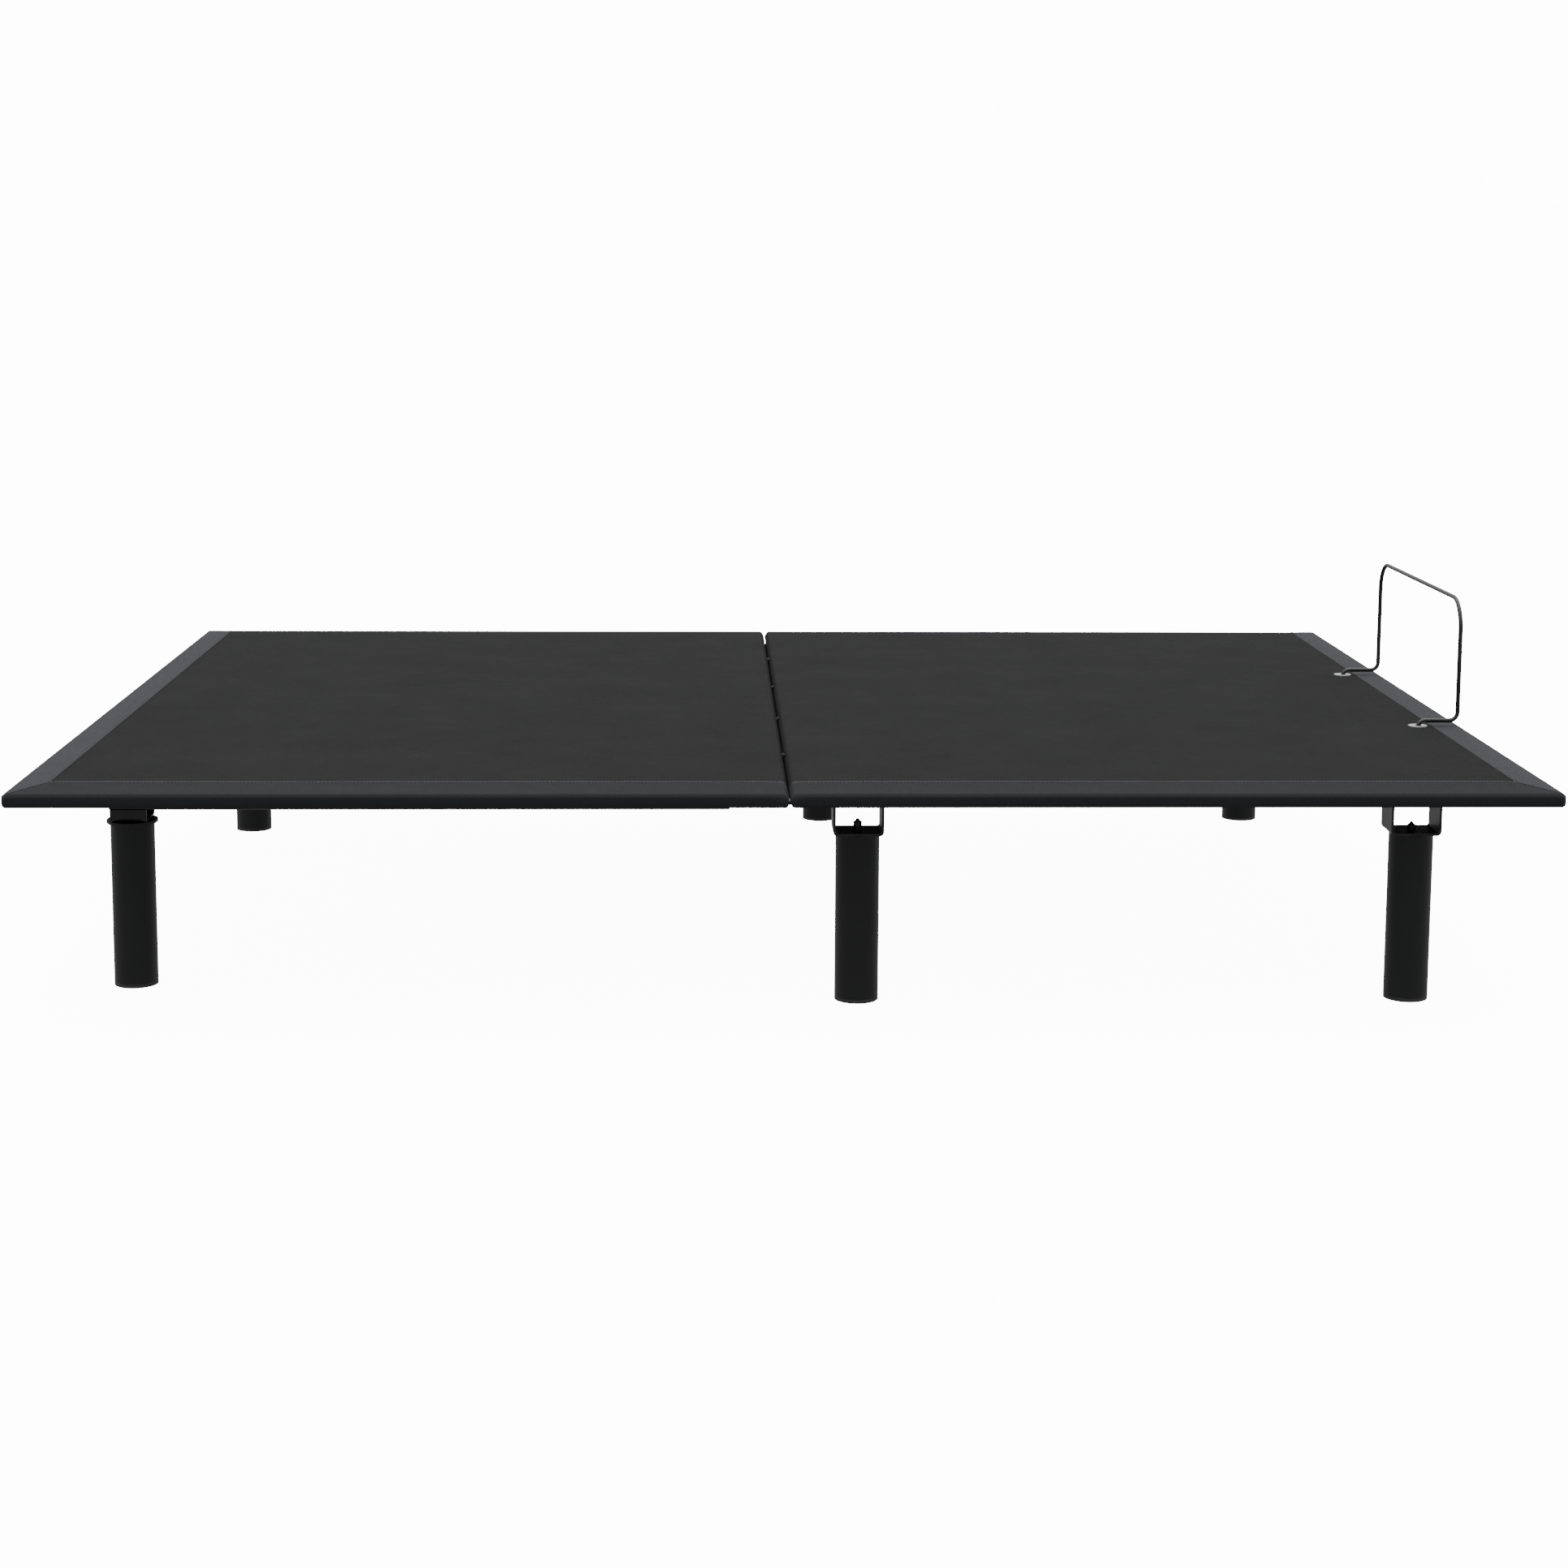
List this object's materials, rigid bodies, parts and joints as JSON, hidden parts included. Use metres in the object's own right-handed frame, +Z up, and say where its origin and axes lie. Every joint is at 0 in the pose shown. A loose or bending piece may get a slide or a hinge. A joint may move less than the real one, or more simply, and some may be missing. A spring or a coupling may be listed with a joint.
{
  "type": "adjustable bed base",
  "caption": "Upholstered platform on round legs, split across the middle, with an electric actuator that raises the head half and a bent retainer bar at the foot.",
  "frame": {"origin": "on the floor under the middle of the bed: the centre of the lower face of the box around the object", "axes": "+X along the bed from head to foot, +Y across it from the near long side to the far one, +Z up"},
  "size_m": [2.032, 1.524, 0.5082],
  "materials": {
    "top_fabric": "felted charcoal woven fabric, matt",
    "border_fabric": "smooth blue-grey woven fabric, matt with a slight sheen",
    "dust_cover_fabric": "thin black non-woven cloth",
    "board_wood": "plywood, unfinished",
    "black_frame_steel": "black powder coat, satin",
    "black_leg_steel": "black powder coat, satin",
    "black_bar_steel": "black powder coat, semi-gloss",
    "zinc_plated_steel": "bright zinc plate",
    "blackened_steel": "blackened fasteners",
    "black_plastic": "moulded, fine texture",
    "grey_plastic": "moulded, fine texture",
    "black_rubber": "matt",
    "circuit_board": "solder mask",
    "black_motor_can": "black paint, satin",
    "grey_aluminium": "extruded, satin anodised",
    "chromed_rod": "polished",
    "brass_nut": "turned"
  },
  "bodies": {
    "root": {"head_side_rail_front": "black_frame_steel", "head_side_rail_rear": "black_frame_steel", "head_cross_tube": "black_frame_steel", "fold_plates": "black_frame_steel", "hinge_beam": "black_frame_steel", "hinge_ears": "black_frame_steel", "fixed_clevis": "black_frame_steel", "foot_side_rail_front": "black_frame_steel", "foot_side_rail_rear": "black_frame_steel", "foot_cross_tubes": "black_frame_steel", "fold_ears": "black_frame_steel", "head_leg_brackets": "black_frame_steel", "mid_leg_brackets": "black_frame_steel", "foot_leg_brackets": "black_frame_steel", "leg_head_front": "black_leg_steel", "leg_head_rear": "black_leg_steel", "leg_mid_front": "black_leg_steel", "leg_mid_rear": "black_leg_steel", "leg_foot_front": "black_leg_steel", "leg_foot_rear": "black_leg_steel", "leg_flanges": "black_leg_steel", "pivot_pin": "zinc_plated_steel", "fold_bolts": "zinc_plated_steel", "fold_nuts": "zinc_plated_steel", "foot_deck_screws": "zinc_plated_steel", "retainer_washers": "zinc_plated_steel", "retainer_nuts": "zinc_plated_steel", "retainer_bar": "black_bar_steel", "leg_glides": "black_plastic", "frame_buffers": "black_rubber", "control_box_case": "black_plastic", "control_box_lid": "black_plastic", "control_sockets": "black_plastic", "control_board": "circuit_board", "hinge_pins": "black_frame_steel", "leg_studs": "blackened_steel", "leg_nuts": "blackened_steel", "foot_deck_board": "board_wood", "foot_deck_border_wrap": "border_fabric", "foot_deck_top_fabric": "top_fabric", "foot_deck_dust_cover": "dust_cover_fabric"},
    "head_deck": {"head_deck_board": "board_wood", "head_deck_border_wrap": "border_fabric", "head_deck_top_fabric": "top_fabric", "head_deck_dust_cover": "dust_cover_fabric", "head_deck_rails": "black_frame_steel", "head_deck_cross_tubes": "black_frame_steel", "hinge_knuckles": "black_frame_steel", "hinge_bushes": "black_plastic", "lift_clevis": "black_frame_steel", "head_deck_screws": "zinc_plated_steel"},
    "actuator_body": {"gearbox_housing": "grey_plastic", "motor_can": "black_motor_can", "actuator_tube": "grey_aluminium", "rod_gland": "black_plastic", "screw_bearing": "zinc_plated_steel"},
    "actuator_rod": {"push_rod": "chromed_rod", "drive_nut": "brass_nut", "lift_pin": "zinc_plated_steel"},
    "actuator_screw": {"lead_screw": "zinc_plated_steel"}
  },
  "joints": [
    {"name": "head_lift", "type": "hinge", "parent": "root", "child": "head_deck", "pos_m": [0, 0, 0.306], "axis": [0, 1, 0], "range_deg": [0, 60]},
    {"name": "actuator_tilt", "type": "hinge", "parent": "root", "child": "actuator_body", "pos_m": [-0.04, 0, 0.23], "axis": [0, 1, 0], "range_deg": [0, 59.1]},
    {"name": "actuator_extend", "type": "slide", "parent": "actuator_body", "child": "actuator_rod", "axis": [-0.9974, 0, 0.0725], "range_m": [0, 0.0863]},
    {"name": "screw_turn", "type": "hinge", "parent": "actuator_body", "child": "actuator_screw", "pos_m": [-0.04, 0, 0.23], "axis": [-0.9974, 0, 0.0725], "range_deg": [0, 2581]}
  ],
  "couplings": [
    {"joint": "actuator_tilt", "follows": "head_lift", "ratio": 0.97674},
    {"joint": "actuator_extend", "follows": "head_lift", "m_per_rad": 0.08199},
    {"joint": "screw_turn", "follows": "head_lift", "ratio": 42.93}
  ]
}
